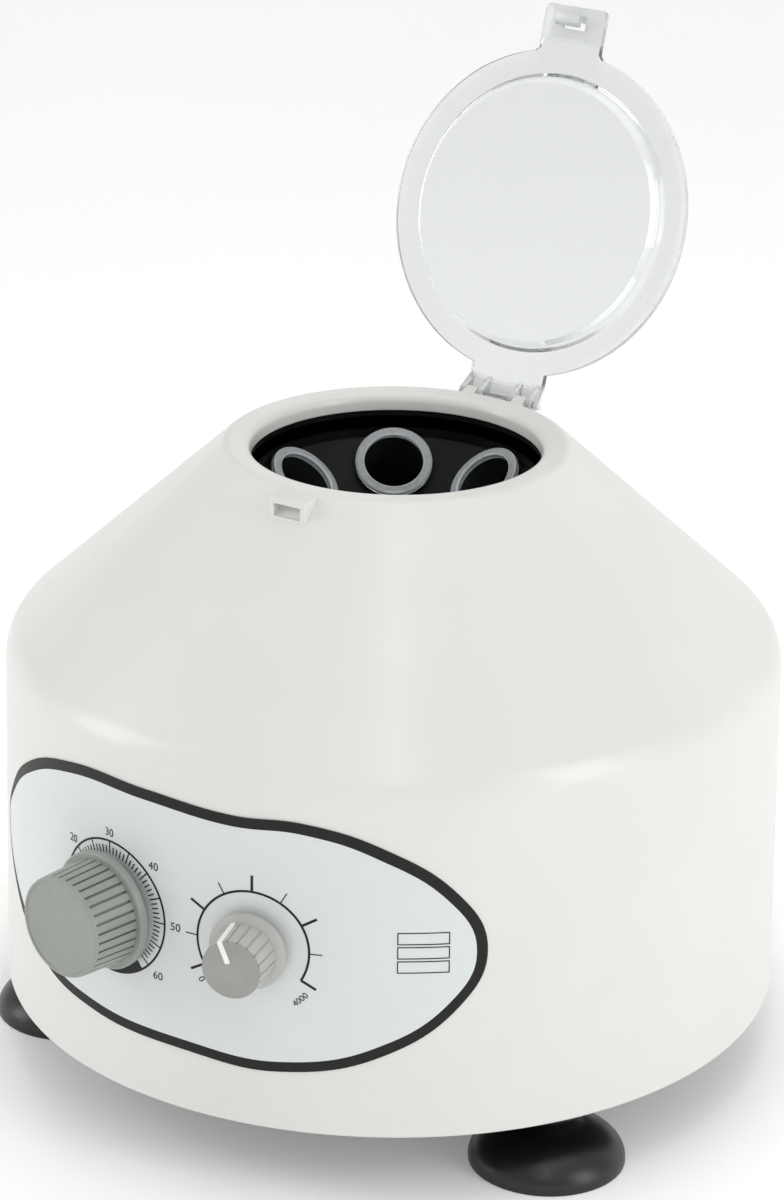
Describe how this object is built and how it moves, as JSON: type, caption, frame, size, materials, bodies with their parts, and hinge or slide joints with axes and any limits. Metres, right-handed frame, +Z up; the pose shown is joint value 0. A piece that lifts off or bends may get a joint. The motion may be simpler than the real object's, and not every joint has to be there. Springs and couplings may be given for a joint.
{
  "type": "laboratory centrifuge",
  "caption": "Bench-top laboratory centrifuge: a fixed-angle rotor carries flanged tubes under a hinged clear lid, with a timer knob, a speed knob and suction feet.",
  "frame": {"origin": "on the bench below the machine's axis, on the plane of its three feet", "axes": "+Z up along the rotor's axis, -Y towards the control panel, +Y towards the lid's hinge"},
  "size_m": [0.2634, 0.2913, 0.3371],
  "materials": {
    "white_abs": "smooth moulded, satin gloss",
    "panel_film": "printed film",
    "black_steel": "black paint",
    "zinc_steel": "zinc plated",
    "black_plastic": "fine matt",
    "motor_steel": "ground",
    "cast_aluminium": "cast",
    "laminations": "stacked sheet",
    "copper": "enamelled wire",
    "graphite": "pressed carbon",
    "bearing_steel": "polished",
    "rubber": "smooth with a sheen",
    "control_case": "matt",
    "board_laminate": "solder mask",
    "capacitor_case": "moulded",
    "brass_contact": "bright",
    "clear_plastic": "clear",
    "milky_plastic": "translucent",
    "grey_knob": "satin",
    "light_knob": "satin",
    "white_mark": "painted line",
    "fuse_glass": "clear"
  },
  "bodies": {
    "base": {"housing": "white_abs", "control_panel": "panel_film", "base_plate": "black_steel", "base_screws": "zinc_steel", "foot_studs": "zinc_steel", "chamber_bowl": "black_plastic", "chamber_shroud": "black_plastic", "bowl_posts": "zinc_steel", "machine_screws": "zinc_steel", "motor_can": "motor_steel", "motor_end_bell": "cast_aluminium", "motor_bottom_plate": "cast_aluminium", "stator_core": "laminations", "field_coils": "copper", "brush_holders": "black_plastic", "carbon_brushes": "graphite", "brush_springs": "zinc_steel", "bearing_lower": "bearing_steel", "bearing_upper": "bearing_steel", "motor_bracket": "black_steel", "motor_dampers": "rubber", "timer_unit": "control_case", "speed_control": "control_case", "control_nuts": "zinc_steel", "circuit_board": "board_laminate", "board_standoffs": "zinc_steel", "suppression_capacitor": "capacitor_case", "triac_heatsink": "cast_aluminium", "terminal_block": "black_plastic", "mains_inlet": "black_plastic", "inlet_pins": "brass_contact", "switch_frame": "black_plastic", "hinge_pin": "zinc_steel", "foot_front_right": "rubber", "foot_front_left": "rubber", "foot_rear": "rubber"},
    "rotor": {"rotor_body": "black_plastic", "rotor_washer": "zinc_steel", "rotor_nut": "zinc_steel", "motor_shaft": "motor_steel", "armature_core": "laminations", "armature_winding": "copper", "commutator": "copper", "cooling_fan": "black_plastic", "tube_1": "milky_plastic", "tube_2": "milky_plastic", "tube_4": "milky_plastic", "tube_5": "milky_plastic", "tube_6": "milky_plastic"},
    "free_tube": {"tube_3": "milky_plastic"},
    "lid": {"lid": "clear_plastic"},
    "timer_knob": {"timer_knob": "grey_knob", "timer_shaft": "motor_steel"},
    "speed_knob": {"speed_knob": "light_knob", "speed_pointer": "white_mark", "speed_shaft": "motor_steel"},
    "fuse_drawer": {"fuse_drawer": "black_plastic", "fuse": "fuse_glass"},
    "rocker": {"rocker": "black_plastic"}
  },
  "joints": [
    {"name": "lid_hinge", "type": "hinge", "parent": "base", "child": "lid", "pos_m": [0, 0.06463, 0.20998], "axis": [-1, 0, 0], "range_deg": [-109, 0]},
    {"name": "rotor_spin", "type": "hinge", "parent": "base", "child": "rotor", "pos_m": [0, 0, 0.15], "axis": [0, 0, 1], "continuous": true},
    {"name": "tube_lift", "type": "slide", "parent": "rotor", "child": "free_tube", "axis": [0.3538, -0.5366, 0.766], "range_m": [0, 0.105]},
    {"name": "timer_turn", "type": "hinge", "parent": "base", "child": "timer_knob", "pos_m": [-0.02468, -0.12937, 0.0887], "axis": [0.1874, 0.9823, 0], "range_deg": [0, 300]},
    {"name": "speed_turn", "type": "hinge", "parent": "base", "child": "speed_knob", "pos_m": [0.02895, -0.12848, 0.0887], "axis": [-0.2198, 0.9755, 0], "range_deg": [-108, 152]},
    {"name": "switch_rock", "type": "hinge", "parent": "base", "child": "rocker", "pos_m": [0, 0.1265, 0.0935], "axis": [1, 0, 0], "range_deg": [0, 18]},
    {"name": "fuse_slide", "type": "slide", "parent": "base", "child": "fuse_drawer", "axis": [0, 1, 0], "range_m": [0, 0.018]}
  ]
}
